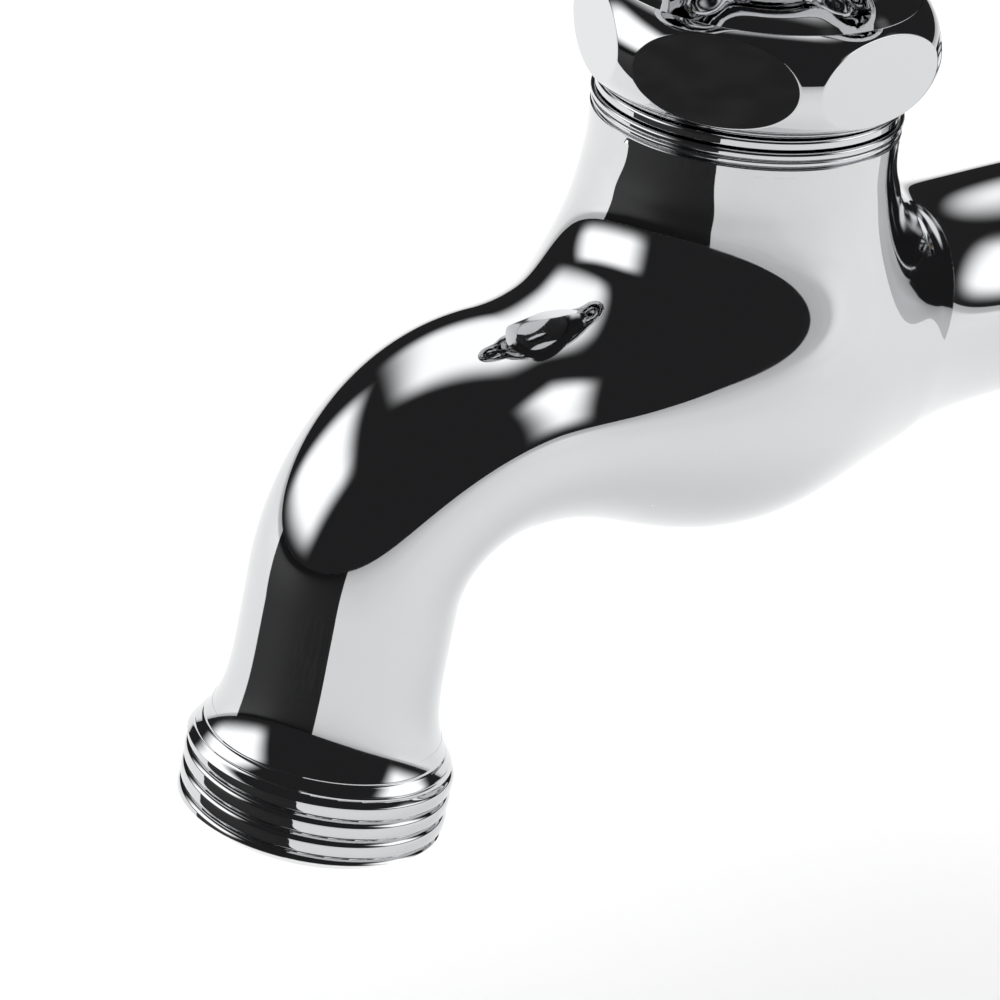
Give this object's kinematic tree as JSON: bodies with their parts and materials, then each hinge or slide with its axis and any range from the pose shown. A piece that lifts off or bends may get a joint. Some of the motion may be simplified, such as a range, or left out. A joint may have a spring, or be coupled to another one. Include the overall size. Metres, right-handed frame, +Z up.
{
  "type": "hose bib",
  "caption": "Chrome wall tap with a gooseneck spout, threaded hose outlet, domed cap nut and three-lobed handle that turns to lift its valve.",
  "frame": {"origin": "on the inlet axis at the wall plane", "axes": "+Y points into the wall along the inlet axis, +Z is up, the tap projects towards -Y"},
  "size_m": [0.054, 0.1427, 0.1045],
  "materials": {
    "chrome": "polished",
    "brass": "machined",
    "rubber": "matt",
    "nylon": "satin",
    "steel": "turned",
    "index_blue": "gloss"
  },
  "bodies": {
    "tap": {"body": "chrome", "cap_nut": "chrome", "packing_seat": "brass", "gland_packing": "rubber", "gland_ring": "nylon", "wall_flange": "chrome", "flange_gasket": "rubber"},
    "jumper": {"jumper_valve": "brass", "jumper_washer": "rubber", "jumper_nut": "brass"},
    "stem": {"spindle": "brass", "handle": "chrome", "handle_washer": "steel", "handle_screw": "steel", "index_cap": "index_blue"}
  },
  "joints": [
    {"name": "jumper_lift", "type": "slide", "parent": "tap", "child": "jumper", "axis": [0, 0, 1], "range_m": [0, 0.00375]},
    {"name": "handle_turn", "type": "hinge", "parent": "jumper", "child": "stem", "pos_m": [0, -0.07, 0.03], "axis": [0, 0, 1], "range_deg": [0, 541]}
  ],
  "couplings": [
    {"joint": "handle_turn", "follows": "jumper_lift", "rad_per_m": 2513.3}
  ]
}
